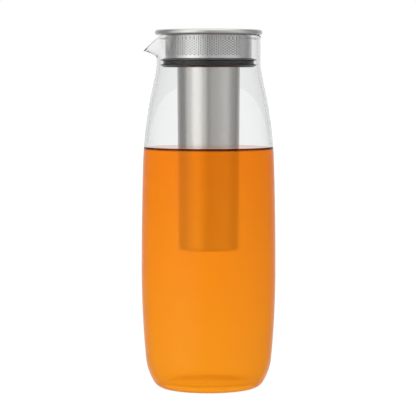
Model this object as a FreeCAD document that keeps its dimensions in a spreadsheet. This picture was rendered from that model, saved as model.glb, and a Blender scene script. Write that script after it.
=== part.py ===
# Tall glass cold-brew jug with a pulled spout, a steel strainer lid and a hanging leaf infuser.
# The axis of the jug is Z, the base stands on Z = 0 and the spout points along -X. Sizes are in mm.
import FreeCAD
import Part
import Sketcher
import math
import os
import re

# Driving dimensions. Every fit between two pieces is worked out from these and a named clearance.
SIZES = {
    # Glass jug: the outline from the rim down to the foot
    "jug_height": 309.0,
    "neck_dia": 90.6,
    "neck_start": 288.0,
    "flare_radius": 72.0,
    "shoulder_radius": 362.0,
    "side_radius": 3070.0,
    "belly_dia": 117.9,
    "belly_height": 104.3,
    "lower_side_radius": 833.0,
    "foot_radius": 50.8,
    "heel_radius": 11.6,
    "heel_height": 5.65,
    "punt_dia": 68.0,
    "punt_depth": 2.0,
    # Glass jug: wall, floor and rim
    "glass_wall": 3.0,
    "glass_floor": 6.0,
    "rim_bead_radius": 1.8,
    # Spout: a half cone drawn out of the neck, measured from the neck's outside and from the rim
    "spout_reach": 11.7,
    "spout_root_depth": 11.3,
    "spout_root_dia": 46.0,
    "spout_tip_dia": 12.0,
    "spout_root_drop": 24.0,
    "spout_tip_drop": 15.0,
    "spout_mouth_drop": 11.5,
    "spout_wall": 2.2,
    # Lid: a pressed cover whose edge is curled under a flat plate
    "lid_overhang": 1.7,
    "lid_edge": 4.9,
    "lid_crown": 0.9,
    "lid_sheet": 0.8,
    "lid_opening_gap": 3.25,
    "lid_seat_gap": 0.2,
    "plate_edge_gap": 0.5,
    # Strainer band under the lid
    "band_bore_gap": 4.55,
    "band_sheet": 0.6,
    "band_top_flange": 4.0,
    "band_seal_flange": 0.9,
    "hole_size": 1.5,
    "hole_columns": 60,
    "hole_rows": 5,
    "hole_row_pitch": 3.1,
    "hole_top_drop": 2.6,
    # Plain strip of the band over its weld, between two angles counted anticlockwise from +X
    "plain_strip_start": 316.0,
    "plain_strip_end": 355.0,
    # Silicone seal with two lips
    "seal_drop": 19.7,
    "seal_height": 7.9,
    "seal_lip_drop": 1.9,
    "seal_lip_spread": 3.7,
    "seal_lip_edge": 0.5,
    "seal_groove_depth": 2.4,
    "seal_foot_inset": 3.1,
    "seal_bore_gap": 0.3,
    "seal_seat_gap": 0.1,
    # Holder ring under the lid and the infuser that hangs on it
    "holder_depth": 14.0,
    "holder_sheet": 0.6,
    "holder_flange": 4.0,
    "holder_gap": 0.3,
    "infuser_top_gap": 0.3,
    "infuser_length": 187.9,
    "infuser_top_dia": 55.4,
    "infuser_foot_dia": 52.6,
    "infuser_sheet": 0.4,
    "mouth_ring_sheet": 0.5,
    "mouth_ring_lip": 1.1,
    "mouth_ring_height": 3.0,
    "mouth_ring_gap": 0.1,
    "base_sheet": 0.5,
    "base_corner": 1.7,
    "base_step": 2.2,
    "base_skirt": 7.8,
    "base_gap": 0.1,
}

doc = FreeCAD.newDocument("cold_brew_jug")
sheet = doc.addObject("Spreadsheet::Sheet", "Sizes")
for row, (alias, size) in enumerate(SIZES.items(), start=1):
    sheet.set(f"A{row}", alias)
    sheet.set(f"B{row}", str(size))
    sheet.setAlias(f"B{row}", alias)
doc.recompute()

# Places that several pieces share, written in the sheet's names
BORE = "(neck_dia / 2 - glass_wall)"
RIM_SEAT = "(jug_height - rim_bead_radius)"
LID_UNDER = "(jug_height + lid_seat_gap)"
PLATE_UNDER = f"({LID_UNDER} + lid_sheet)"
LID_EDGE_TOP = f"({LID_UNDER} + lid_edge)"
LID_CURL = "(neck_dia / 2 + lid_overhang - lid_edge / 2)"
BAND = f"({BORE} - band_bore_gap)"
LID_OPENING = f"({BAND} + lid_opening_gap)"
SEAL_TOP = "(jug_height - seal_drop)"
SEAL_FOOT = f"({SEAL_TOP} - seal_height)"
SEAL_FLANGE = f"({SEAL_TOP} - seal_height / 2)"
INFUSER_TOP = f"({PLATE_UNDER} - infuser_top_gap)"
INFUSER_FOOT = f"({INFUSER_TOP} - infuser_length)"
INFUSER_TAPER = "((infuser_top_dia - infuser_foot_dia) / 2 / infuser_length)"


def bound(text):
    """An expression in the sheet's names, as a feature outside the sheet has to write it."""
    return re.sub(r"[a-z]\w*", lambda m: f"Sizes.{m[0]}" if m[0] in SIZES else m[0], text)


def value(text):
    """What an expression in the sheet's names comes to now."""
    return float(sheet.evalExpression(bound(text)))


def origin_part(body, role):
    """One of a body's own origin planes or axes."""
    return next(f for f in body.Origin.OriginFeatures if f.Role == role)


def new_sketch(body, name, role, offset=None):
    """A sketch on one of the body's origin planes, moved along the plane's normal by an expression."""
    sketch = body.newObject("Sketcher::SketchObject", name)
    sketch.AttachmentSupport = [(origin_part(body, role), "")]
    sketch.MapMode = "FlatFace"
    if offset:
        sketch.setExpression("AttachmentOffset.Base.z", bound(offset))
    return sketch


def size_constraint(sketch, *constraint, text):
    """A dimension that follows an expression in the sheet's names."""
    number = sketch.addConstraint(Sketcher.Constraint(*constraint, value(text)))
    sketch.setExpression(f"Constraints[{number}]", bound(text))


def pin(sketch, edge, end, x, y):
    """Fixes an edge's end, or an arc's centre, at x and y from the sketch's origin. None leaves one free."""
    for kind, axis, text in (("DistanceX", -2, x), ("DistanceY", -1, y)):
        if text == "0":
            sketch.addConstraint(Sketcher.Constraint("PointOnObject", edge, end, axis))
        elif text is not None:
            size_constraint(sketch, kind, -1, 1, edge, end, text=text)


def arc_about(centre, start, end):
    """The arc that runs counterclockwise from start to end about a centre."""
    angles = [math.atan2(p.y - centre.y, p.x - centre.x) for p in (start, end)]
    circle = Part.Circle(centre, FreeCAD.Vector(0, 0, 1), centre.distanceToPoint(start))
    return Part.ArcOfCircle(circle, *angles)


def outline(sketch, *corners):
    """A closed outline through corners (x, y), in the sheet's names.

    A corner with a third entry ("x" or "y", place, turn) is reached by an arc whose centre lies
    on that line and which turns "left" or "right"; the others are reached by straight edges.
    """
    points = [FreeCAD.Vector(value(x), value(y), 0) for x, y, *_ in corners]
    ends = []
    for i, (start, end) in enumerate(zip(points[-1:] + points, points)):
        if len(corners[i]) == 2:
            edge = sketch.addGeometry(Part.LineSegment(start, end))
            ends.append((edge, 1, 2))
            continue
        axis, place, turn = corners[i][2]
        middle, chord = (start + end) / 2, end - start
        if axis == "x":
            cx = value(place)
            centre = FreeCAD.Vector(cx, middle.y - (cx - middle.x) * chord.x / chord.y, 0)
        else:
            cy = value(place)
            centre = FreeCAD.Vector(middle.x - (cy - middle.y) * chord.y / chord.x, cy, 0)
        if turn == "left":
            edge = sketch.addGeometry(arc_about(centre, start, end))
            ends.append((edge, 1, 2))
        else:
            edge = sketch.addGeometry(arc_about(centre, end, start))
            ends.append((edge, 2, 1))
    for (edge, _, last), (following, first, _) in zip(ends, ends[1:] + ends[:1]):
        sketch.addConstraint(Sketcher.Constraint("Coincident", edge, last, following, first))
    for (edge, _, last), (x, y, *arc) in zip(ends, corners):
        pin(sketch, edge, last, x, y)
        for axis, place, _ in arc:
            pin(sketch, edge, 3, *((place, None) if axis == "x" else (None, place)))


def feature(body, kind, name, **settings):
    """A feature of a body with its properties set."""
    made = body.newObject(f"PartDesign::{kind}", name)
    for setting, content in settings.items():
        setattr(made, setting, content)
    return made


def turned(body, kind, name, sketch):
    """A full turn of a sketch about the jug's axis, added or cut."""
    return feature(body, kind, name, Profile=sketch, ReferenceAxis=(sketch, ["V_Axis"]), Angle=360)


def new_body(label):
    body = doc.addObject("PartDesign::Body", label)
    body.Label = label
    return body


def turned_sheet(label, *corners):
    """A body turned from one closed outline on the XZ plane."""
    body = new_body(label)
    sketch = new_sketch(body, f"{label}_outline", "XZ_Plane")
    outline(sketch, *corners)
    turned(body, "Revolution", f"{label}_turn", sketch)
    return body


def glass_outline(sketch, inset, floor):
    """The jug's outline, set in from the outside by a wall, from the axis at the floor to the neck's top.

    Going up it is a heel, a foot and a lower side, then a long side that stands upright at the
    belly, a shoulder and a hollow flare into the neck, each an arc that is tangent to the next.
    """
    neck_x, belly_x = f"neck_dia / 2 - {inset}", f"belly_dia / 2 - {inset}"
    radii = [f"{arc}_radius - {inset}" for arc in ("heel", "foot", "lower_side", "side", "shoulder")]
    radii.append(f"flare_radius + {inset}")
    heel, foot, lower, side, shoulder, flare = (value(radius) for radius in radii)
    neck = FreeCAD.Vector(value(neck_x), value("neck_start"), 0)
    belly = FreeCAD.Vector(value(belly_x), value("belly_height"), 0)

    def ray(angle):
        return FreeCAD.Vector(math.cos(angle), math.sin(angle), 0)

    # Downwards from the belly, each arc's centre lies on the ray through the joint above it
    dip = math.asin(1 - value("heel_height / heel_radius"))
    foot_height = value(floor) + heel + (foot - heel) * math.sin(dip)
    tilt = math.asin((belly.y - foot_height) / (lower - foot))
    lower_centre = belly - ray(0) * lower
    foot_centre = lower_centre + ray(-tilt) * (lower - foot)
    heel_centre = foot_centre + ray(-dip) * (foot - heel)
    # Upwards, the shoulder lies inside the side's circle and outside the flare's
    side_centre = belly - ray(0) * side
    flare_centre = neck + ray(0) * flare
    span = flare_centre - side_centre
    near, far = side - shoulder, shoulder + flare
    turn = math.acos((span.Length**2 + near**2 - far**2) / (2 * span.Length * near))
    lean = math.atan2(span.y, span.x) - turn
    shoulder_centre = side_centre + ray(lean) * near
    sweep = math.atan2(flare_centre.y - shoulder_centre.y, flare_centre.x - shoulder_centre.x)

    heel_start = heel_centre - FreeCAD.Vector(0, heel, 0)
    foot_start = heel_centre + ray(-dip) * heel
    lower_start = foot_centre + ray(-tilt) * foot
    shoulder_start = side_centre + ray(lean) * side
    flare_start = shoulder_centre + ray(sweep) * shoulder
    axis_foot = FreeCAD.Vector(0, value(floor), 0)
    neck_top = FreeCAD.Vector(neck.x, value(RIM_SEAT), 0)
    axis_top = FreeCAD.Vector(0, neck_top.y, 0)
    arcs = [
        arc_about(heel_centre, heel_start, foot_start),
        arc_about(foot_centre, foot_start, lower_start),
        arc_about(lower_centre, lower_start, belly),
        arc_about(side_centre, belly, shoulder_start),
        arc_about(shoulder_centre, shoulder_start, flare_start),
        arc_about(flare_centre, neck, flare_start),
    ]
    heel, foot, lower, side, shoulder, flare = (sketch.addGeometry(arc) for arc in arcs)
    corners = [(axis_foot, heel_start), (neck, neck_top), (neck_top, axis_top), (axis_top, axis_foot)]
    base, wall, top, axis = (sketch.addGeometry(Part.LineSegment(*ends)) for ends in corners)

    for joint in ((base, 2, heel, 1), (heel, 2, foot, 1), (foot, 2, lower, 1), (side, 2, shoulder, 1)):
        sketch.addConstraint(Sketcher.Constraint("Tangent", *joint))
    sketch.addConstraint(Sketcher.Constraint("Tangent", shoulder, 2, flare, 2))
    for joint in ((lower, 2, side, 1), (flare, 1, wall, 1), (wall, 2, top, 1), (top, 2, axis, 1), (axis, 2, base, 1)):
        sketch.addConstraint(Sketcher.Constraint("Coincident", *joint))
    sketch.addConstraint(Sketcher.Constraint("Horizontal", base))
    for edge, radius in zip((heel, foot, lower, side, shoulder, flare), radii):
        size_constraint(sketch, "Radius", edge, text=radius)
    pin(sketch, heel, 2, None, f"{floor} + heel_height * ({radii[0]}) / heel_radius")
    pin(sketch, side, 1, belly_x, "belly_height")
    pin(sketch, lower, 3, None, "belly_height")
    pin(sketch, side, 3, None, "belly_height")
    pin(sketch, flare, 1, neck_x, "neck_start")
    pin(sketch, flare, 3, None, "neck_start")
    pin(sketch, wall, 2, neck_x, RIM_SEAT)
    pin(sketch, top, 2, "0", RIM_SEAT)
    pin(sketch, axis, 2, "0", floor)


def spout_section(body, name, place, radius, underside, top):
    """A U across the spout: a half round below, with upright sides up to the top."""
    sketch = new_sketch(body, name, "YZ_Plane", place)
    middle = f"{underside} + {radius}"
    outline(
        sketch,
        (f"-({radius})", top),
        (f"-({radius})", middle),
        (radius, middle, ("y", middle, "left")),
        (radius, top),
    )
    return sketch


def make_glass_jug():
    """Blown glass: the wall is turned, the spout is drawn out of the neck, the rim is fire-rounded."""
    body = new_body("glass_jug")
    outside = new_sketch(body, "jug_outside", "XZ_Plane")
    glass_outline(outside, "0", "0")
    turned(body, "Revolution", "jug_blank", outside)

    root = "-(neck_dia / 2 - spout_root_depth)"
    tip = "-(neck_dia / 2 + spout_reach)"
    root_under, tip_under = "(jug_height - spout_root_drop)", "(jug_height - spout_tip_drop)"
    above = "(jug_height + spout_wall)"
    root_out = spout_section(body, "spout_root", root, "spout_root_dia / 2", root_under, above)
    tip_out = spout_section(body, "spout_tip", tip, "spout_tip_dia / 2", tip_under, above)
    feature(body, "AdditiveLoft", "spout_blank", Profile=root_out, Sections=[tip_out], Ruled=True)

    mouth = new_sketch(body, "spout_mouth_outline", "XZ_Plane")
    outline(
        mouth,
        ("0", above),
        (tip, above),
        (tip, "jug_height - spout_mouth_drop"),
        ("-neck_dia / 2", RIM_SEAT),
        ("0", RIM_SEAT),
    )
    feature(body, "Pocket", "spout_mouth", Profile=mouth, Type="ThroughAll", SideType="Symmetric")

    inside = new_sketch(body, "jug_inside", "XZ_Plane")
    glass_outline(inside, "glass_wall", "glass_floor")
    turned(body, "Groove", "jug_cavity", inside)

    punt = new_sketch(body, "punt_outline", "XZ_Plane")
    outline(punt, ("0", "0"), ("punt_dia / 2", "0"), ("0", "punt_depth", ("x", "0", "left")))
    turned(body, "Groove", "punt", punt)

    bead = new_sketch(body, "rim_bead_outline", "XZ_Plane")
    bead_x = f"{BORE} + rim_bead_radius"
    centre = FreeCAD.Vector(value(bead_x), value(RIM_SEAT), 0)
    edge = bead.addGeometry(Part.Circle(centre, FreeCAD.Vector(0, 0, 1), value("rim_bead_radius")))
    pin(bead, edge, 3, bead_x, RIM_SEAT)
    size_constraint(bead, "Radius", edge, text="rim_bead_radius")
    turned(body, "Revolution", "rim_bead", bead)

    root_radius, tip_radius = "spout_root_dia / 2 - spout_wall", "spout_tip_dia / 2 - spout_wall"
    root_in = spout_section(body, "channel_root", root, root_radius, f"{root_under} + spout_wall", above)
    tip_in = spout_section(body, "channel_tip", tip, tip_radius, f"{tip_under} + spout_wall", above)
    feature(body, "SubtractiveLoft", "spout_channel", Profile=root_in, Sections=[tip_in], Ruled=True)
    return body


def make_lid_cover():
    """Pressed steel disc, slightly crowned, with its edge curled round into a flange underneath."""
    curl_inside = f"{LID_UNDER} + lid_sheet"
    return turned_sheet(
        "lid_cover",
        ("0", f"{LID_EDGE_TOP} + lid_crown - lid_sheet"),
        ("0", f"{LID_EDGE_TOP} + lid_crown"),
        (LID_CURL, LID_EDGE_TOP, ("x", "0", "right")),
        (LID_CURL, LID_UNDER, ("x", LID_CURL, "right")),
        (LID_OPENING, LID_UNDER),
        (LID_OPENING, curl_inside),
        (LID_CURL, curl_inside),
        (LID_CURL, f"{LID_EDGE_TOP} - lid_sheet", ("x", LID_CURL, "left")),
    )


def make_lid_plate():
    """Flat steel disc caught inside the cover's curl. It carries the strainer band and the holder."""
    edge = f"{LID_CURL} - plate_edge_gap"
    top = f"{PLATE_UNDER} + lid_sheet"
    return turned_sheet("lid_plate", ("0", PLATE_UNDER), (edge, PLATE_UNDER), (edge, top), ("0", top))


def placed(kind, name, **sizes):
    """A Part primitive or boolean whose sizes follow expressions in the sheet's names."""
    made = doc.addObject(f"Part::{kind}", name)
    for size, content in sizes.items():
        if isinstance(content, str):
            made.setExpression("Placement.Base.z" if size == "Foot" else size, bound(content))
        else:
            setattr(made, size, content)
    return made


def make_strainer_band():
    """Perforated steel band: a flange on top is spot-welded to the plate, one below carries the seal.

    The band is rolled in narrow flats, one for each column of holes, so every hole is cut in a flat.
    A strip over the weld stays plain.
    """
    flats = "2 * hole_columns"
    foot = f"{SEAL_FLANGE} - band_sheet / 2"
    height = f"{PLATE_UNDER} - ({foot})"
    inside = f"{BAND} - band_sheet"
    wall = placed("Prism", "band_wall", Polygon=flats, Circumradius=BAND, Height=height, Foot=foot)
    lip = f"{BAND} + band_seal_flange"
    flange = placed("Prism", "band_flange", Polygon=flats, Circumradius=lip, Height="band_sheet", Foot=foot)
    blank = placed("Fuse", "band_blank", Base=wall, Tool=flange)
    depth = f"{height} - band_sheet"
    hollow = placed("Prism", "band_hollow", Polygon=flats, Circumradius=inside, Height=depth, Foot=foot)
    cup = placed("Cut", "band_cup", Base=blank, Tool=hollow)
    opening_radius = f"{BAND} - band_top_flange"
    opening = placed("Cylinder", "band_opening", Radius=opening_radius, Height=height, Foot=foot)
    shell = placed("Cut", "band_shell", Base=cup, Tool=opening)

    size, step = value("hole_size"), 360 / value("hole_columns")
    plain_start, plain_end = value("plain_strip_start"), value("plain_strip_end")
    depth = value("2 * band_sheet")
    corner = FreeCAD.Vector(value(BAND) - depth, -size / 2, -size / 2)
    punch = Part.makeBox(2 * depth, size, size, corner)
    punches = []
    for row in range(int(value("hole_rows"))):
        height = value(f"{LID_UNDER} - hole_top_drop") - row * value("hole_row_pitch")
        for column in range(int(value("hole_columns"))):
            angle = (column + (0.25 if row % 2 == 0 else 0.75)) * step
            if plain_start < angle < plain_end:
                continue
            turn = FreeCAD.Rotation(FreeCAD.Vector(0, 0, 1), angle)
            punches.append(punch.copy())
            punches[-1].Placement = FreeCAD.Placement(FreeCAD.Vector(0, 0, height), turn)
    punch_set = doc.addObject("Part::Feature", "band_punches")
    punch_set.Shape = Part.makeCompound(punches)
    band = placed("Cut", "strainer_band", Base=shell, Tool=punch_set)
    band.Label = "strainer_band"
    return band


def make_seal_ring():
    """Silicone ring stretched over the band's lower flange, with two thin lips that wipe the neck."""
    lip = f"{BORE} - seal_bore_gap"
    upper = f"{SEAL_TOP} - seal_lip_drop"
    lower = f"{upper} - seal_lip_spread"
    groove = f"{lip} - seal_groove_depth"
    seat = f"{BAND} + seal_seat_gap"
    slot_edge = f"{BAND} + band_seal_flange + seal_seat_gap"
    slot_top = f"{SEAL_FLANGE} + band_sheet / 2 + seal_seat_gap"
    slot_under = f"{SEAL_FLANGE} - band_sheet / 2 - seal_seat_gap"
    bore = f"{BAND} - band_sheet"
    return turned_sheet(
        "seal_ring",
        (seat, SEAL_TOP),
        (seat, slot_top),
        (slot_edge, slot_top),
        (slot_edge, slot_under),
        (bore, slot_under),
        (bore, SEAL_FOOT),
        (f"{lip} - seal_foot_inset", SEAL_FOOT),
        (lip, f"{lower} - seal_lip_edge"),
        (lip, lower),
        (groove, f"{lower} + seal_lip_edge"),
        (groove, f"{upper} - seal_lip_edge"),
        (lip, upper),
        (lip, f"{upper} + seal_lip_edge"),
    )


def make_holder_ring():
    """Short steel ring welded under the plate; the infuser's mouth pushes up over it."""
    outside = "infuser_top_dia / 2 - infuser_sheet - holder_gap"
    return turned_sheet(
        "infuser_holder",
        (f"{outside} - holder_flange", PLATE_UNDER),
        (f"{outside} - holder_flange", f"{PLATE_UNDER} - holder_sheet"),
        (f"{outside} - holder_sheet", f"{PLATE_UNDER} - holder_sheet"),
        (f"{outside} - holder_sheet", f"{PLATE_UNDER} - holder_depth"),
        (outside, f"{PLATE_UNDER} - holder_depth"),
        (outside, PLATE_UNDER),
    )


def infuser_radius(height):
    """The infuser's outside radius at a height: it narrows evenly from its mouth to its foot."""
    return f"(infuser_foot_dia / 2 + ({height} - {INFUSER_FOOT}) * {INFUSER_TAPER})"


def make_infuser_tube():
    """Rolled and seam-welded sheet, etched all over with hair-fine holes, open at both ends."""
    top, foot = f"({INFUSER_TOP} - mouth_ring_sheet)", f"({INFUSER_FOOT} + base_step)"
    return turned_sheet(
        "infuser_tube",
        (infuser_radius(foot), foot),
        (infuser_radius(top), top),
        (f"{infuser_radius(top)} - infuser_sheet", top),
        (f"{infuser_radius(foot)} - infuser_sheet", foot),
    )


def make_mouth_ring():
    """Folded steel ring that stiffens the infuser's mouth and covers the sheet's raw edge."""
    seat = f"({INFUSER_TOP} - mouth_ring_sheet)"
    tube = infuser_radius(seat)
    edge = f"{tube} + mouth_ring_lip"
    return turned_sheet(
        "infuser_mouth_ring",
        (f"{tube} - infuser_sheet", seat),
        (f"{tube} + mouth_ring_gap", seat),
        (f"{tube} + mouth_ring_gap", f"{seat} - mouth_ring_height"),
        (edge, f"{seat} - mouth_ring_height"),
        (edge, INFUSER_TOP),
        (f"{tube} - infuser_sheet", INFUSER_TOP),
    )


def make_infuser_base():
    """Pressed steel cup that closes the foot: its rounded corner is flush, its skirt goes up inside."""
    step = f"({INFUSER_FOOT} + base_step)"
    skirt_top = f"({step} + base_skirt)"
    corner = f"{infuser_radius(step)} - base_corner"
    skirt_foot = f"{infuser_radius(step)} - infuser_sheet - base_gap"
    skirt_end = f"{infuser_radius(skirt_top)} - infuser_sheet - base_gap"
    floor = f"{INFUSER_FOOT} + base_sheet"
    return turned_sheet(
        "infuser_base",
        ("0", floor),
        ("0", INFUSER_FOOT),
        (corner, INFUSER_FOOT),
        (infuser_radius(step), f"{INFUSER_FOOT} + base_corner", ("x", corner, "left")),
        (infuser_radius(step), step),
        (skirt_foot, step),
        (skirt_end, skirt_top),
        (f"{skirt_end} - base_sheet", skirt_top),
        (f"{skirt_foot} - base_sheet", step),
        (f"{corner} - base_sheet", floor),
    )


pieces = [
    make_glass_jug(),
    make_lid_cover(),
    make_lid_plate(),
    make_strainer_band(),
    make_seal_ring(),
    make_holder_ring(),
    make_infuser_tube(),
    make_mouth_ring(),
    make_infuser_base(),
]
doc.recompute()

failed = [o.Label for o in doc.Objects if "Invalid" in o.State or "Error" in o.State]
failed += [p.Label for p in pieces if p.Shape.isNull() or not p.Shape.isValid()]
if failed:
    raise RuntimeError(f"these did not build: {failed}")

os.makedirs("parts", exist_ok=True)
for piece in pieces:
    piece.Shape.exportStep(f"parts/{piece.Label}.step")
    print(piece.Label, len(piece.Shape.Solids), "solid", round(piece.Shape.Volume, 1), "mm3")
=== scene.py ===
import math

import bmesh
import bpy
import numpy as np
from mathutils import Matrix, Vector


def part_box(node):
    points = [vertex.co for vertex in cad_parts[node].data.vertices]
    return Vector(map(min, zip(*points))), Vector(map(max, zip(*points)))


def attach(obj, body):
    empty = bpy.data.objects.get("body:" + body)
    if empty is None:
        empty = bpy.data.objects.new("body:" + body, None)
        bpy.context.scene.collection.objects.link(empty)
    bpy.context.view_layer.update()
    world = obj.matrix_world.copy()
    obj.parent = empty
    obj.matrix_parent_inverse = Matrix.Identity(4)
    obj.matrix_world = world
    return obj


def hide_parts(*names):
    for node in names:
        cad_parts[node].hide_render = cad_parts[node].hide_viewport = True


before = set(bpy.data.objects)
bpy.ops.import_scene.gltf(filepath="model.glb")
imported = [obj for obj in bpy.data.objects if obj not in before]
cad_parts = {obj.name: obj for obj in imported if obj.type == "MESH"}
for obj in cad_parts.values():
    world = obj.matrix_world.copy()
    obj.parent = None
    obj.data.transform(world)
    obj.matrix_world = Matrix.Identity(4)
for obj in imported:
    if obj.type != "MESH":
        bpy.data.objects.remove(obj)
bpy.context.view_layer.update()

# Glass jug: one piece of clear blown glass, thick at the foot, with a fire-rounded rim.
# The spout was drawn out of the hot neck, so wall and rim bend outwards and down together.
mm = 0.001
jug_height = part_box("glass_jug")[1].z
neck_radius = 45.3 * mm
neck_start = 288 * mm
neck_rows = 16
flare_radius = 72 * mm
shoulder_radius = 362 * mm
side_radius = 3070 * mm
belly_radius = 58.95 * mm
belly_height = 104.3 * mm
lower_side_radius = 833 * mm
foot_radius = 50.8 * mm
heel_radius = 11.6 * mm
heel_height = 5.65 * mm
punt_radius = 34 * mm
punt_depth = 2 * mm
glass_wall = 3 * mm
glass_floor = 6 * mm
rim_bead = 1.8 * mm
spout_root = 289.6 * mm
spout_reach = 11.7 * mm
spout_drop = 13.3 * mm
spout_lip_gain = 1.2 * mm
spout_half_angle = math.radians(27)
spout_curl = 1.2
glass_columns = 288
glass_tint = (0.905, 0.91, 0.91, 1)
glass_bending = 1.15
wall_gloss = 0.1
wave_scale = 22
wave_strength = 0.01
wave_depth = 2 * mm
merge_distance = 0.001 * mm
sharp_turn = math.radians(30)


def unit(angle):
    """The direction (cos, sin) of an angle in the plane of radius and height."""
    return np.array((math.cos(angle), math.sin(angle)))


def arc(centre, radius, start, end, rows):
    """Rows (radius, height) on a circle: centre + radius (cos a, sin a) as a runs from start to end."""
    angle = np.linspace(start, end, rows)
    return np.asarray(centre) + radius * np.column_stack((np.cos(angle), np.sin(angle)))


def line(start, end, rows):
    """Rows (radius, height) evenly spaced on a straight line."""
    return np.linspace(start, end, rows)


def glass_outline(inset, floor):
    """The jug's outline set in by a wall: arcs from the floor to the neck, each tangent to the next.

    Below the belly a centre lies on the ray through the joint above it. Above, the shoulder's
    circle touches the side's circle from inside and the flare's circle from outside.
    """
    bulging = np.array((heel_radius, foot_radius, lower_side_radius, side_radius, shoulder_radius))
    heel, foot, lower, side, shoulder = bulging - inset
    flare = flare_radius + inset
    neck = np.array((neck_radius - inset, neck_start))
    belly = np.array((belly_radius - inset, belly_height))
    dip = math.asin(1 - heel_height / heel_radius)
    foot_height = floor + heel + (foot - heel) * math.sin(dip)
    tilt = math.asin((belly_height - foot_height) / (lower - foot))
    lower_centre = belly - unit(0) * lower
    foot_centre = lower_centre + unit(-tilt) * (lower - foot)
    heel_centre = foot_centre + unit(-dip) * (foot - heel)
    side_centre = belly - unit(0) * side
    flare_centre = neck + unit(0) * flare
    span = flare_centre - side_centre
    reach = math.hypot(*span)
    near = side - shoulder
    far = shoulder + flare
    opening = math.acos((reach**2 + near**2 - far**2) / (2 * reach * near))
    lean = math.atan2(span[1], span[0]) - opening
    shoulder_centre = side_centre + unit(lean) * near
    sweep = math.atan2(*(flare_centre - shoulder_centre)[::-1])
    return np.vstack((
        arc(heel_centre, heel, -math.pi / 2, -dip, rows=10),
        arc(foot_centre, foot, -dip, -tilt, rows=12)[1:],
        arc(lower_centre, lower, -tilt, 0, rows=16)[1:],
        arc(side_centre, side, 0, lean, rows=14)[1:],
        arc(shoulder_centre, shoulder, lean, sweep, rows=16)[1:],
        arc(flare_centre, flare, sweep + math.pi, math.pi, rows=14)[1:],
    ))


def turned(profile, columns):
    """A profile of rows (radius, height) carried round the axis: (r cos a, r sin a, height)."""
    angle = 2 * math.pi * np.arange(columns) / columns
    radius, height = np.asarray(profile, float).T
    across = np.outer(radius, np.cos(angle))
    along = np.outer(radius, np.sin(angle))
    return np.stack((across, along, np.repeat(height[:, None], columns, axis=1)), axis=-1)


def grid_faces(rows, columns):
    """Quads between neighbouring rows of a grid whose columns close into a ring."""
    row, column = np.meshgrid(np.arange(rows - 1), np.arange(columns), indexing="ij")
    following = (column + 1) % columns
    first = row * columns
    second = first + columns
    corners = (first + column, first + following, second + following, second + column)
    return np.stack(corners, axis=-1).reshape(-1, 4)


def new_piece(name, points, faces, finish):
    """A mesh object with its doubles merged, smooth but for edges that turn by more than sharp_turn."""
    mesh = bpy.data.meshes.new(name)
    mesh.from_pydata(points.reshape(-1, 3), [], faces)
    merged = bmesh.new()
    merged.from_mesh(mesh)
    bmesh.ops.remove_doubles(merged, verts=merged.verts, dist=merge_distance)
    merged.to_mesh(mesh)
    merged.free()
    mesh.shade_smooth()
    mesh.set_sharp_from_angle(angle=sharp_turn)
    mesh.materials.append(finish)
    piece = bpy.data.objects.new(name, mesh)
    bpy.context.scene.collection.objects.link(piece)
    return piece


def turned_piece(name, profile, columns, finish):
    """A piece turned from one profile, which runs with the material on its left."""
    points = turned(profile, columns)
    return new_piece(name, points, grid_faces(len(points), columns), finish)


def draw_spout(points, wall_depth):
    """Pulls the neck's -X side outwards and down by a share w(angle) s(height).

    w is a squared cosine across the spout, s rises from 0 at the spout's root to 1 at the rim,
    and the inner wall drops a little less so that the lip keeps its thickness.
    """
    x, y, z = np.moveaxis(points, -1, 0)
    side = np.clip(np.arctan2(y, -x) / spout_half_angle, -1, 1)
    rise = np.clip((z - spout_root) / (jug_height - spout_root), 0, 1) ** spout_curl
    pull = np.cos(side * math.pi / 2) ** 2 * rise
    drop = spout_drop - spout_lip_gain * wall_depth[:, None]
    return np.stack((x - spout_reach * pull, y, z - drop * pull), axis=-1)


def feed(tree, node, inputs):
    """Sets a node's inputs, each to a value or to a link from another node's output."""
    for socket, content in inputs.items():
        if isinstance(content, bpy.types.NodeSocket):
            tree.links.new(content, node.inputs[socket])
        else:
            node.inputs[socket].default_value = content


def add_node(tree, kind, inputs=None, **settings):
    """A new node with its settings made and then its inputs fed."""
    node = tree.nodes.new(kind)
    for setting, content in settings.items():
        setattr(node, setting, content)
    feed(tree, node, inputs or {})
    return node


def object_place(tree):
    """The place on a piece, in metres in the jug's own frame."""
    return add_node(tree, "ShaderNodeTexCoord").outputs["Object"]


def noise(tree, place, scale, detail):
    """A cloudy value from 0 to 1 that changes with the place."""
    inputs = {"Vector": place, "Scale": scale, "Detail": detail}
    return add_node(tree, "ShaderNodeTexNoise", inputs).outputs["Fac"]


def relief(tree, height, strength, depth):
    """A normal that leans as a height changes over the surface."""
    inputs = {"Height": height, "Strength": strength, "Distance": depth}
    return add_node(tree, "ShaderNodeBump", inputs).outputs["Normal"]


def new_finish(name):
    """A material with its node tree and its Principled shader."""
    finish = bpy.data.materials.new(name)
    finish.use_nodes = True
    return finish, finish.node_tree, finish.node_tree.nodes["Principled BSDF"]


def clear_glass(name, gloss):
    """Colourless glass with the faint waves of blown walls, and a gloss that wet glass lacks."""
    finish, tree, shader = new_finish(name)
    waves = noise(tree, object_place(tree), wave_scale, detail=1)
    feed(tree, shader, {
        "Base Color": glass_tint,
        "Transmission Weight": 1,
        "Roughness": 0,
        "IOR": glass_bending,
        "Coat Weight": gloss,
        "Coat Roughness": 0,
        "Normal": relief(tree, waves, wave_strength, wave_depth),
    })
    return finish


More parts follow.
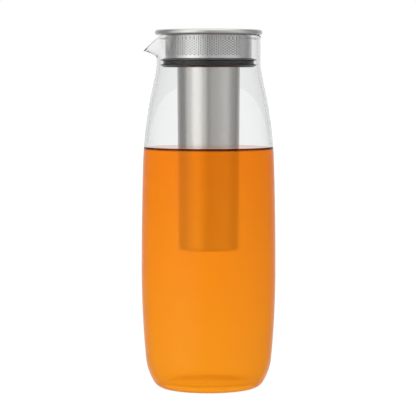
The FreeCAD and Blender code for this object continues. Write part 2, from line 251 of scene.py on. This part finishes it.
bore = neck_radius - glass_wall
rim_seat = jug_height - rim_bead
bead_centre = np.array((bore + rim_bead, rim_seat))
bead_start = math.acos((neck_radius - bead_centre[0]) / rim_bead)
punt_sphere = (punt_radius**2 + punt_depth**2) / (2 * punt_depth)
punt_edge = math.acos(punt_radius / punt_sphere)
outside = glass_outline(0, 0)
inside = glass_outline(glass_wall, glass_floor)
bead = arc(bead_centre, rim_bead, -bead_start, math.pi, rows=22)
jug_profile = np.vstack((
    arc((0, punt_depth - punt_sphere), punt_sphere, math.pi / 2, punt_edge, rows=8),
    outside,
    line(outside[-1], bead[0], neck_rows)[1:-1],
    bead,
    line(bead[-1], inside[-1], neck_rows)[1:-1],
    inside[::-1],
    ((0, glass_floor),),
))
wall_depth = np.clip((neck_radius - jug_profile[:, 0]) / glass_wall, 0, 1)
jug_points = draw_spout(turned(jug_profile, glass_columns), wall_depth)
jug_faces = grid_faces(len(jug_profile), glass_columns)
jug_glass = new_piece("jug_glass", jug_points, jug_faces, clear_glass("clear_glass", wall_gloss))
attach(jug_glass, "jug")
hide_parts("glass_jug")

# Tea: what the jug is made to hold, filled to just under the shoulder.
# It wets the glass, so its skin lies a hair inside the wall, and it climbs the wall at its edge.
# The thick foot lifts its colour to the jug's bottom, so its floor is drawn inside the glass there.
tea_level = 211.6 * mm
tea_wetting = 0.12 * mm
tea_floor = 2.6 * mm
meniscus_rise = 0.15 * mm
meniscus_width = 2.2 * mm
meniscus_rows = 8
# Painted shade: a dark line of colour under the tea's edge, where the meniscus darkens it.
meniscus_dark = 2.8 * mm
meniscus_darkest = 0.4 * meniscus_dark
tea_colour = (0.90, 0.235, 0.003, 1)
# Painted light: the tea's colour is yellower towards the foot, as if the white table lit it from below.
tea_foot_painted_light_colour = (0.90, 0.345, 0.012, 1)
meniscus_painted_shade_colour = (0.06, 0.006, 0.003, 1)
tea_clearness = 0.6
# Painted glow: the tea emits a little orange light of its own, though it is no lamp.
tea_painted_glow = (1, 0.25, 0, 1)
tea_painted_glow_strength = 0.07
no_glow = (0, 0, 0, 1)
skin_bending = 1
water_bending = 1.33
level_enough = 0.5


def axes_of(tree, vector):
    """A vector's X, Y and Z."""
    return add_node(tree, "ShaderNodeSeparateXYZ", {"Vector": vector}).outputs


def map_range(tree, value, start, end, low=0, high=1, curve="LINEAR"):
    """Goes from low to high as the value goes from start to end, and stays there past them."""
    inputs = {"Value": value, "From Min": start, "From Max": end, "To Min": low, "To Max": high}
    return add_node(tree, "ShaderNodeMapRange", inputs, interpolation_type=curve).outputs["Result"]


def colour_mix(tree, factor, first, second):
    """Goes from the first colour to the second as the factor goes from 0 to 1."""
    inputs = {"Factor": factor, "A": first, "B": second}
    return add_node(tree, "ShaderNodeMix", inputs, data_type="RGBA").outputs["Result"]


def brewed_tea(name, bending):
    """Clear orange tea with a painted glow, an orange emission that stands in for the light it
    scatters.
    """
    finish, tree, shader = new_finish(name)
    feed(tree, shader, {
        "Base Color": tea_colour,
        "Transmission Weight": tea_clearness,
        "Roughness": 0,
        "IOR": bending,
        "Emission Color": tea_painted_glow,
        "Emission Strength": tea_painted_glow_strength,
    })
    return finish, tree, shader


def tea_skin():
    """Tea behind the wall, with painted light that makes it yellower towards the foot, and a dark line
    of painted shade under its edge.
    """
    finish, tree, shader = brewed_tea("brewed_tea", skin_bending)
    height = axes_of(tree, object_place(tree))["Z"]
    # Painted light: yellower towards the foot.
    body = colour_mix(tree, map_range(tree, height, 0, tea_level), tea_foot_painted_light_colour, tea_colour)
    dark_start = tea_level - meniscus_dark
    dark_end = tea_level - meniscus_darkest
    # Painted shade: dark just under the tea's edge, with the painted glow switched off there.
    meniscus_shade = map_range(tree, height, dark_start, dark_end, curve="SMOOTHSTEP")
    feed(tree, shader, {
        "Base Color": colour_mix(tree, meniscus_shade, body, meniscus_painted_shade_colour),
        "Emission Color": colour_mix(tree, meniscus_shade, tea_painted_glow, no_glow),
    })
    return finish


def face_places(piece):
    """Each face's centre and normal, as two arrays."""
    faces = piece.data.polygons
    places = np.zeros((2, len(faces), 3), np.float32)
    faces.foreach_get("center", places[0].ravel())
    faces.foreach_get("normal", places[1].ravel())
    return places


def facing_up(centre, normal):
    """Which faces of a vessel look inwards or up: their normal leans to the axis, and not down."""
    inward = np.sum(centre[:, :2] * normal[:, :2], axis=1) < 0
    rise = normal[:, 2]
    return (inward | (rise > level_enough)) & (rise > -level_enough)


def paint_faces(piece, mask, finish):
    """Gives the masked faces a second finish."""
    piece.data.materials.append(finish)
    piece.data.polygons.foreach_set("material_index", mask.astype(np.int32))


tea_side = glass_outline(glass_wall - tea_wetting, tea_floor)
tea_edge = np.interp(tea_level, tea_side[:, 1], tea_side[:, 0])
climb = np.linspace(0, 1, meniscus_rows)[:, None]
tea_profile = np.vstack((
    ((0, tea_floor),),
    tea_side[tea_side[:, 1] < tea_level],
    (tea_edge, tea_level) + np.hstack((-meniscus_width * climb, meniscus_rise * (1 - climb) ** 2)),
    ((0, tea_level),),
))
tea = turned_piece("tea", tea_profile, glass_columns, tea_skin())
centre, normal = face_places(tea)
paint_faces(tea, facing_up(centre, normal), brewed_tea("tea_surface", water_bending)[0])
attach(tea, "jug")
centre, normal = face_places(jug_glass)
wet = facing_up(centre, normal) & (centre[:, 2] < tea_level)
paint_faces(jug_glass, wet, clear_glass("wet_glass", 0))

# Lid cover: a pressed stainless disc, slightly crowned, brushed in circles on top.
# Its edge is rolled under into a smooth half round that holds the plate below it.
lid_low, lid_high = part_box("lid_cover")
lid_edge = 4.9 * mm
lid_sheet = 0.8 * mm
lid_opening = 41 * mm
turned_columns = 256
steel_light = (0.70, 0.685, 0.66, 1)
steel_dark = (0.58, 0.565, 0.54, 1)
lid_roughness = (0.12, 0.24)
lid_lines = {"Around": 2, "Rings": 5200, "Streaks": 5200, "Depth": 0.12}
line_depth = 0.05 * mm


def maths(tree, operation, *values):
    """The result of a Math node on values or other nodes' outputs."""
    inputs = dict(enumerate(values))
    return add_node(tree, "ShaderNodeMath", inputs, operation=operation).outputs["Value"]


def vector_maths(tree, operation, *values):
    """The results of a Vector Math node on values or other nodes' outputs."""
    inputs = dict(enumerate(values))
    return add_node(tree, "ShaderNodeVectorMath", inputs, operation=operation).outputs


def new_group(name, inputs, outputs):
    """A shader node group with named sockets, what it is given, and its output node."""
    group = bpy.data.node_groups.new(name, "ShaderNodeTree")
    for side, sockets in (("INPUT", inputs), ("OUTPUT", outputs)):
        for socket, kind in sockets.items():
            group.interface.new_socket(socket, in_out=side, socket_type=f"NodeSocket{kind}")
    return group, group.nodes.new("NodeGroupInput").outputs, group.nodes.new("NodeGroupOutput")


def make_brushed_lines():
    """Fine grinding lines about the jug's axis.

    They are noise over the direction from the axis times Around, and over the radius times Rings
    plus the height times Streaks.
    """
    inputs = {"Position": "Vector", **dict.fromkeys(lid_lines, "Float")}
    group, given, result = new_group("brushed_lines", inputs, {"Shade": "Float", "Normal": "Vector"})
    flat = vector_maths(group, "MULTIPLY", given["Position"], (1, 1, 0))["Vector"]
    direction = axes_of(group, vector_maths(group, "NORMALIZE", flat)["Vector"])
    rings = maths(group, "MULTIPLY", vector_maths(group, "LENGTH", flat)["Value"], given["Rings"])
    streaks = maths(group, "MULTIPLY", axes_of(group, given["Position"])["Z"], given["Streaks"])
    grain = add_node(group, "ShaderNodeCombineXYZ", {
        "X": maths(group, "MULTIPLY", direction["X"], given["Around"]),
        "Y": maths(group, "MULTIPLY", direction["Y"], given["Around"]),
        "Z": maths(group, "ADD", rings, streaks),
    })
    shade = noise(group, grain.outputs["Vector"], scale=1, detail=3)
    feed(group, result, {"Shade": shade, "Normal": relief(group, shade, given["Depth"], line_depth)})
    return group


brushed_lines = make_brushed_lines()


def brushed_steel(name, light, dark, roughness, lines):
    """Stainless steel whose colour, gloss and relief follow the grinding lines."""
    finish, tree, shader = new_finish(name)
    inputs = {"Position": object_place(tree), **lines}
    grain = add_node(tree, "ShaderNodeGroup", inputs, node_tree=brushed_lines).outputs
    feed(tree, shader, {
        "Metallic": 1,
        "Base Color": colour_mix(tree, grain["Shade"], dark, light),
        "Roughness": map_range(tree, grain["Shade"], 0, 1, *roughness),
        "Normal": grain["Normal"],
    })
    return finish


lid_curl = lid_high.x - lid_edge / 2
crown_rise = lid_high.z - lid_low.z - lid_edge
crown_sphere = (lid_curl**2 + crown_rise**2) / (2 * crown_rise)
crown_edge = math.acos(lid_curl / crown_sphere)
crown_centre = np.array((0, lid_high.z - crown_sphere))
curl_centre = (lid_curl, lid_low.z + lid_edge / 2)
lid_profile = np.vstack((
    arc(crown_centre - (0, lid_sheet), crown_sphere, math.pi / 2, crown_edge, rows=12),
    arc(curl_centre, lid_edge / 2 - lid_sheet, math.pi / 2, -math.pi / 2, rows=12)[1:],
    ((lid_opening, lid_low.z + lid_sheet), (lid_opening, lid_low.z)),
    arc(curl_centre, lid_edge / 2, -math.pi / 2, math.pi / 2, rows=24),
    arc(crown_centre, crown_sphere, crown_edge, math.pi / 2, rows=24)[1:],
))
lid_finish = brushed_steel("lid_steel", steel_light, steel_dark, lid_roughness, lid_lines)
lid_disc = turned_piece("lid_disc", lid_profile, turned_columns, lid_finish)
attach(lid_disc, "lid")
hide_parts("lid_cover")

# Lid plate: a flat stainless disc caught inside the cover's rolled edge.
# It closes the lid from below and carries the strainer band and the infuser's holder.
plate_low, plate_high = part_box("lid_plate")
plate_profile = (
    (0, plate_low.z),
    (plate_high.x, plate_low.z),
    (plate_high.x, plate_high.z),
    (0, plate_high.z),
)
lid_back = turned_piece("lid_back", plate_profile, turned_columns, lid_finish)
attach(lid_back, "lid")
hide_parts("lid_plate")

# Strainer band: thin stainless sheet punched with staggered round holes and rolled into a ring.
# A strip over its weld stays plain. A flange on top is welded to the plate, one below carries the seal.
band_low, band_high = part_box("strainer_band")
band_radius = 37.75 * mm
band_sheet = 0.6 * mm
band_inside = band_radius - band_sheet
band_top_flange = 4 * mm
band_lip = 0.9 * mm
hole_radius = 0.72 * mm
hole_columns = 124
hole_rows = 8
hole_pitch = 2.21 * mm
top_row_drop = 1.5 * mm
cells_top = lid_low.z - top_row_drop + hole_pitch / 2
cells_foot = cells_top - hole_rows * hole_pitch
plain_strip_start = math.radians(316)
plain_strip_end = math.radians(355)
band_light = (0.90, 0.90, 0.89, 1)
band_dark = (0.82, 0.82, 0.81, 1)
band_roughness = (0.16, 0.24)
band_lines = {"Around": 60, "Rings": 900, "Streaks": 40, "Depth": 0.08}


def sheet_points(cells):
    """Cell coordinates (columns round, cells up) as points on the sheet's outer and inner face."""
    angle = cells[..., 0] * 2 * math.pi / hole_columns
    height = cells_top + cells[..., 1] * hole_pitch
    faces = [
        np.stack((radius * np.cos(angle), radius * np.sin(angle), height), axis=-1)
        for radius in (band_radius, band_inside)
    ]
    return np.stack(faces, axis=1)


def punched_sheet():
    """Cells on a grid of (angle, height), each a square ring of quads about a twelve-sided hole.

    Every second column stands half a cell lower, with a plain half cell above and below it, so the
    holes lie in a honeycomb. A rim has quarter points along its height, which neighbours share.
    Cells of the plain strip close their hole with a fan of triangles.
    """
    quarters = (0, 0.25, 0.5, 0.75)
    rim = np.array([(u, 0) for u in (0, 0.5)] + [(1, v) for v in quarters]
                   + [(u, 1) for u in (1, 0.5)] + [(0, 1 - v) for v in quarters])
    turn = np.arctan2(rim[:, 1] - 0.5, rim[:, 0] - 0.5)
    cell_width = 2 * math.pi * band_radius / hole_columns
    hole = 0.5 + hole_radius * np.column_stack((np.cos(turn) / cell_width, np.sin(turn) / hole_pitch))
    # Whole cells, of which a lower column has one fewer
    column, row = np.meshgrid(np.arange(hole_columns), np.arange(hole_rows), indexing="ij")
    low = column % 2
    whole = (low == 0) | (row < hole_rows - 1)
    start = np.stack((column, -1 - row - 0.5 * low), axis=-1)[whole][:, None]
    corners = np.concatenate((rim, hole, ((0.5, 0.5),)))[None] + start
    points = sheet_points(corners)
    middle = corners[:, -1, 0] * 2 * math.pi / hole_columns
    plain = (middle > plain_strip_start) & (middle < plain_strip_end)
    count = len(rim)
    place = np.arange(count)
    following = (place + 1) % count
    inner = 2 * count + 1
    ring = np.stack((place, following, count + following, count + place), axis=-1)
    wall = np.stack((count + place, count + following), axis=-1)
    wall = np.concatenate((wall, inner + wall[:, ::-1]), axis=-1)
    fan = np.stack((count + place, count + following, np.full(count, 2 * count)), axis=-1)
    first = (np.arange(len(points)) * 2 * inner)[:, None, None]
    quads = np.concatenate((ring, inner + ring[:, ::-1]))[None] + first
    walls = wall[None] + first[~plain]
    fans = np.concatenate((fan, inner + fan[:, ::-1]))[None] + first[plain]
    faces = quads.reshape(-1, 4).tolist() + walls.reshape(-1, 4).tolist() + fans.reshape(-1, 3).tolist()
    # Plain half cells at the ends of the lower columns, two pentagons on each face
    left = ((0, 0), (0.5, 0), (0.5, 0.5), (0, 0.5), (0, 0.25))
    right = ((0.5, 0), (1, 0), (1, 0.25), (1, 0.5), (0.5, 0.5))
    ends = np.stack(np.meshgrid(np.arange(1, hole_columns, 2), (-0.5, -hole_rows)), axis=-1)
    half_points = sheet_points(np.array(left + right)[None] + ends.reshape(-1, 1, 2))
    pair = np.arange(2 * len(left)).reshape(2, -1)
    pairs = np.concatenate((pair, pair.size + pair[:, ::-1]))
    half_first = points.size // 3 + np.arange(len(half_points)) * 2 * pair.size
    faces += (pairs[None] + half_first[:, None, None]).reshape(-1, len(left)).tolist()
    return np.concatenate((points.reshape(-1, 3), half_points.reshape(-1, 3))), faces


cell_points, cell_faces = punched_sheet()
flange_edge = band_radius - band_top_flange
upper_profile = (
    (band_radius, cells_top),
    (band_radius, band_high.z),
    (flange_edge, band_high.z),
    (flange_edge, band_high.z - band_sheet),
    (band_inside, band_high.z - band_sheet),
    (band_inside, cells_top),
)
lower_profile = (
    (band_inside, cells_foot),
    (band_inside, band_low.z),
    (band_radius + band_lip, band_low.z),
    (band_radius + band_lip, band_low.z + band_sheet),
    (band_radius, band_low.z + band_sheet),
    (band_radius, cells_foot),
)
band_columns = 2 * hole_columns
upper_points = turned(upper_profile, band_columns).reshape(-1, 3)
lower_points = turned(lower_profile, band_columns).reshape(-1, 3)
band_points = np.concatenate((cell_points, upper_points, lower_points))
ring_faces = grid_faces(len(upper_profile), band_columns)
band_faces = cell_faces + (ring_faces + len(cell_points)).tolist()
band_faces += (ring_faces + len(cell_points) + len(upper_points)).tolist()
band_finish = brushed_steel("strainer_steel", band_light, band_dark, band_roughness, band_lines)
strainer = new_piece("strainer", band_points, band_faces, band_finish)
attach(strainer, "lid")
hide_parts("strainer_band")

# Seal ring: black silicone, moulded in one piece and stretched over the band's lower flange.
# Two thin lips with a groove between them wipe the inside of the neck.
seal_low, seal_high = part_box("seal_ring")
seal_lip = seal_high.x
seal_lip_drop = 1.9 * mm
seal_lip_spread = 3.7 * mm
seal_lip_edge = 0.5 * mm
seal_groove = 2.4 * mm
seal_foot_inset = 3.1 * mm
seal_seat_gap = 0.1 * mm
seal_colour = (0.006, 0.006, 0.0063, 1)
seal_dust = (0.012, 0.012, 0.0123, 1)
seal_shine = 0.6
seal_roughness = (0.26, 0.38)
mottle_scale = 900
mottle_strength = 0.05
mottle_depth = 0.03 * mm


def black_silicone():
    """Satin black rubber with the faint mottle and dust that it picks up."""
    finish, tree, shader = new_finish("seal_silicone")
    mottle = noise(tree, object_place(tree), mottle_scale, detail=4)
    feed(tree, shader, {
        "Specular IOR Level": seal_shine,
        "Base Color": colour_mix(tree, mottle, seal_colour, seal_dust),
        "Roughness": map_range(tree, mottle, 0, 1, *seal_roughness),
        "Normal": relief(tree, mottle, mottle_strength, mottle_depth),
    })
    return finish


upper_lip = seal_high.z - seal_lip_drop
lower_lip = upper_lip - seal_lip_spread
seal_seat = band_radius + seal_seat_gap
slot_edge = band_radius + band_lip + seal_seat_gap
slot_top = band_low.z + band_sheet + seal_seat_gap
slot_under = band_low.z - seal_seat_gap
seal_profile = (
    (seal_seat, seal_high.z),
    (seal_seat, slot_top),
    (slot_edge, slot_top),
    (slot_edge, slot_under),
    (band_inside, slot_under),
    (band_inside, seal_low.z),
    (seal_lip - seal_foot_inset, seal_low.z),
    (seal_lip, lower_lip - seal_lip_edge),
    (seal_lip, lower_lip),
    (seal_lip - seal_groove, lower_lip + seal_lip_edge),
    (seal_lip - seal_groove, upper_lip - seal_lip_edge),
    (seal_lip, upper_lip),
    (seal_lip, upper_lip + seal_lip_edge),
    (seal_seat, seal_high.z),
)
seal = turned_piece("seal", seal_profile, turned_columns, black_silicone())
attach(seal, "lid")
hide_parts("seal_ring")

# Infuser holder: a short stainless ring with a flange, spot-welded under the plate.
# The infuser's mouth pushes up over it and is held by the spring of the sheet.
holder_low, holder_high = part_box("infuser_holder")
holder_sheet = 0.6 * mm
holder_flange = 4 * mm
holder_edge = holder_high.x
holder_profile = (
    (holder_edge - holder_flange, holder_high.z),
    (holder_edge - holder_flange, holder_high.z - holder_sheet),
    (holder_edge - holder_sheet, holder_high.z - holder_sheet),
    (holder_edge - holder_sheet, holder_low.z),
    (holder_edge, holder_low.z),
    (holder_edge, holder_high.z),
    (holder_edge - holder_flange, holder_high.z),
)
holder = turned_piece("holder", holder_profile, turned_columns, band_finish)
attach(holder, "lid")
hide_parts("infuser_holder")

# Infuser tube: stainless sheet etched all over with hair-fine holes, rolled and seam-welded.
# It narrows a little from the mouth to the foot, and its satin finish runs lengthwise.
tube_low, tube_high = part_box("infuser_tube")
tube_sheet = 0.4 * mm
tube_top_radius = tube_high.x
tube_foot_radius = 26.316 * mm
tube_light = (0.87, 0.85, 0.81, 1)
tube_dark = (0.79, 0.77, 0.735, 1)
tube_roughness = (0.1, 0.2)
tube_lines = {"Around": 90, "Rings": 0, "Streaks": 3, "Depth": 0.06}
etch_columns = 210
etch_row_pitch = 0.8 * mm
etch_hole = 0.2
etch_hole_edge = 1.3 * etch_hole
# Painted shade: each etched hole is a dark mark on the sheet for the shade inside it.
hole_shade_colour = (0.36, 0.345, 0.32, 1)


def make_etched_holes():
    """Staggered round marks about the axis: a mask of the distance from each cell's centre."""
    group, given, result = new_group("etched_holes", {"Position": "Vector"}, {"Mask": "Float"})
    axes = axes_of(group, given["Position"])
    angle = maths(group, "ARCTAN2", axes["Y"], axes["X"])
    column = maths(group, "MULTIPLY", angle, etch_columns / (2 * math.pi))
    row = maths(group, "DIVIDE", axes["Z"], etch_row_pitch)
    stagger = maths(group, "MULTIPLY", maths(group, "FLOOR", row), 0.5)
    shifted = maths(group, "ADD", column, stagger)
    offset = add_node(group, "ShaderNodeCombineXYZ", {
        "X": maths(group, "SUBTRACT", maths(group, "FRACT", shifted), 0.5),
        "Y": maths(group, "SUBTRACT", maths(group, "FRACT", row), 0.5),
    })
    distance = vector_maths(group, "LENGTH", offset.outputs["Vector"])["Value"]
    feed(group, result, {"Mask": map_range(group, distance, etch_hole, etch_hole_edge, 1, 0)})
    return group


def etched_steel():
    """Satin steel with painted shade in each etched hole: a dark mark on the sheet where the hole's
    inside is in shade.
    """
    finish = brushed_steel("infuser_steel", tube_light, tube_dark, tube_roughness, tube_lines)
    tree = finish.node_tree
    shader = tree.nodes["Principled BSDF"]
    steel = shader.inputs["Base Color"].links[0].from_socket
    inputs = {"Position": object_place(tree)}
    holes = add_node(tree, "ShaderNodeGroup", inputs, node_tree=make_etched_holes())
    feed(tree, shader, {"Base Color": colour_mix(tree, holes.outputs["Mask"], steel, hole_shade_colour)})
    return finish


tube_profile = (
    (tube_foot_radius, tube_low.z),
    (tube_top_radius, tube_high.z),
    (tube_top_radius - tube_sheet, tube_high.z),
    (tube_foot_radius - tube_sheet, tube_low.z),
    (tube_foot_radius, tube_low.z),
)
infuser = turned_piece("infuser", tube_profile, turned_columns, etched_steel())
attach(infuser, "infuser")
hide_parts("infuser_tube")

# Infuser mouth ring: a folded stainless ring that stiffens the mouth and covers the raw edge.
# It is crimped on and polished smooth.
mouth_low, mouth_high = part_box("infuser_mouth_ring")
mouth_gap = 0.1 * mm
trim_roughness = (0.2, 0.3)
trim_lines = {"Around": 2, "Rings": 4000, "Streaks": 4000, "Depth": 0.08}
mouth_profile = (
    (tube_top_radius - tube_sheet, tube_high.z),
    (tube_top_radius + mouth_gap, tube_high.z),
    (tube_top_radius + mouth_gap, mouth_low.z),
    (mouth_high.x, mouth_low.z),
    (mouth_high.x, mouth_high.z),
    (tube_top_radius - tube_sheet, mouth_high.z),
    (tube_top_radius - tube_sheet, tube_high.z),
)
trim_finish = brushed_steel("infuser_trim_steel", steel_light, steel_dark, trim_roughness, trim_lines)
mouth_ring = turned_piece("mouth_ring", mouth_profile, turned_columns, trim_finish)
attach(mouth_ring, "infuser")
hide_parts("infuser_mouth_ring")

# Infuser base: a stainless cup pressed from sheet, with a rounded corner.
# Its skirt is pushed up inside the tube and spot-welded there.
cup_low, cup_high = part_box("infuser_base")
cup_sheet = 0.5 * mm
cup_corner = 1.7 * mm
cup_gap = 0.1 * mm
skirt_foot = tube_foot_radius - tube_sheet - cup_gap
skirt_spread = 0.058 * mm
corner_centre = (tube_foot_radius - cup_corner, cup_low.z + cup_corner)
cup_profile = np.vstack((
    ((0, cup_low.z),),
    arc(corner_centre, cup_corner, -math.pi / 2, 0, rows=8),
    (
        (tube_foot_radius, tube_low.z),
        (skirt_foot, tube_low.z),
        (skirt_foot + skirt_spread, cup_high.z),
        (skirt_foot + skirt_spread - cup_sheet, cup_high.z),
        (skirt_foot - cup_sheet, tube_low.z),
        (corner_centre[0] - cup_sheet, cup_low.z + cup_sheet),
        (0, cup_low.z + cup_sheet),
    ),
))
infuser_cup = turned_piece("infuser_cup", cup_profile, turned_columns, trim_finish)
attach(infuser_cup, "infuser")
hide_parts("infuser_base")

# Stage: a wide white floor that glows like a lit table, so the jug stands on almost no shadow.
# Mirrored rays pass through it, and matt pieces get more light from it than it shows.
# It isn't part of the object.
floor_half = 60
floor_drop = 0.2 * mm
floor_colour = (0.12, 0.12, 0.12, 1)
floor_glow = (1, 1, 1, 1)
floor_level = 0.94
floor_level_on_matt = 1.5
floor_corners = floor_half * np.array(((-1, -1), (1, -1), (1, 1), (-1, 1)))
floor_points = np.column_stack((floor_corners, np.full(len(floor_corners), -floor_drop)))
floor_finish, floor_tree, floor_shader = new_finish("white_table")
floor_path = add_node(floor_tree, "ShaderNodeLightPath").outputs
mirrored, scattered = floor_path["Glossy Depth"], floor_path["Diffuse Depth"]
feed(floor_tree, floor_shader, {
    "Base Color": floor_colour,
    "Roughness": 1,
    "Specular IOR Level": 0,
    "Emission Color": floor_glow,
    "Emission Strength": map_range(floor_tree, scattered, 0, 1, floor_level, floor_level_on_matt),
    "Alpha": map_range(floor_tree, mirrored, 0, 1, 1, 0),
})
floor = new_piece("floor", floor_points, [(0, 1, 2, 3)], floor_finish)

# Studio light: a white tent, brighter to the front left, with grey panels at the sides and the camera.
# What is seen straight or through clear pieces is the plain white backdrop, and what the glass wall
# mirrors within itself is partly that backdrop. Matt pieces also get a key light from the front left.
tent_levels = {
    -180: 0.9, -150: 0.6, -125: 0.34, -105: 0.34, -75: 0.85, -50: 1.35, -35: 1.25, -15: 0.78,
    0: 0.44, 15: 0.56, 70: 0.74, 100: 0.44, 125: 0.34, 150: 0.6, 180: 0.9,
}
tent_brightest = max(tent_levels.values())
tent_top_level = 1.25
tent_top_span = (0.6, 0.95)
tent_low_level = 0.28
tent_low_span = (-0.3, -0.75)
key_angle = math.radians(-35)
key_half_width = math.radians(45)
key_gain = 2.2
wall_crossings = 2
wall_clearness = 0.35


def tent_grey(level):
    """A level as a grey, as a share of the tent's brightest."""
    return (*[level / tent_brightest] * 3, 1)


def studio_tent():
    """A world whose level follows the compass angle from the camera's side and turns even overhead."""
    world = bpy.data.worlds.new("studio_tent")
    world.use_nodes = True
    tree = world.node_tree
    view = add_node(tree, "ShaderNodeTexCoord").outputs["Generated"]
    axes = axes_of(tree, view)
    angle = maths(tree, "ARCTAN2", axes["X"], maths(tree, "MULTIPLY", axes["Y"], -1))
    ramp = add_node(tree, "ShaderNodeValToRGB", {"Fac": map_range(tree, angle, -math.pi, math.pi)})
    ramp.color_ramp.interpolation = "EASE"
    stops = ramp.color_ramp.elements
    while len(stops) < len(tent_levels):
        stops.new(0.5)
    for stop, (degrees, level) in zip(stops, sorted(tent_levels.items())):
        stop.position = (degrees + 180) / 360
        stop.color = tent_grey(level)
    tent = ramp.outputs["Color"]
    for level, span in ((tent_top_level, tent_top_span), (tent_low_level, tent_low_span)):
        share = map_range(tree, axes["Z"], *span, curve="SMOOTHSTEP")
        tent = colour_mix(tree, share, tent, tent_grey(level))
    path = add_node(tree, "ShaderNodeLightPath").outputs
    away = maths(tree, "ABSOLUTE", maths(tree, "SUBTRACT", angle, key_angle))
    key = map_range(tree, away, key_half_width, 0, 0, key_gain * tent_brightest, "SMOOTHSTEP")
    key_light = maths(tree, "MULTIPLY", key, maths(tree, "MINIMUM", path["Diffuse Depth"], 1))
    bounces = maths(tree, "ADD", path["Glossy Depth"], path["Diffuse Depth"])
    in_wall = maths(tree, "COMPARE", path["Transmission Depth"], wall_crossings)
    spared = maths(tree, "MULTIPLY", in_wall, wall_clearness)
    tinted = maths(tree, "SUBTRACT", maths(tree, "MINIMUM", bounces, 1), spared)
    feed(tree, tree.nodes["Background"], {
        "Color": colour_mix(tree, maths(tree, "MAXIMUM", tinted, 0), tent_grey(1), tent),
        "Strength": maths(tree, "ADD", key_light, tent_brightest),
    })
    return world


bpy.context.scene.world = studio_tent()
bpy.context.scene.view_settings.view_transform = "Standard"

# Camera: a long lens in front of the jug, a little below the lid's height.
# The spout is on its left.
eye = np.array((-0.0005, -1.875, 0.2761))
aim = np.array((-0.0005, 0, 0.1581))
lens = 185.2
film_width = 36
camera_data = bpy.data.cameras.new("camera")
camera_data.lens = lens
camera_data.sensor_width = film_width
camera = bpy.data.objects.new("camera", camera_data)
camera.location = eye
camera.rotation_euler = (math.pi / 2 - math.atan2(eye[2] - aim[2], aim[1] - eye[1]), 0, 0)
bpy.context.scene.collection.objects.link(camera)
bpy.context.scene.camera = camera
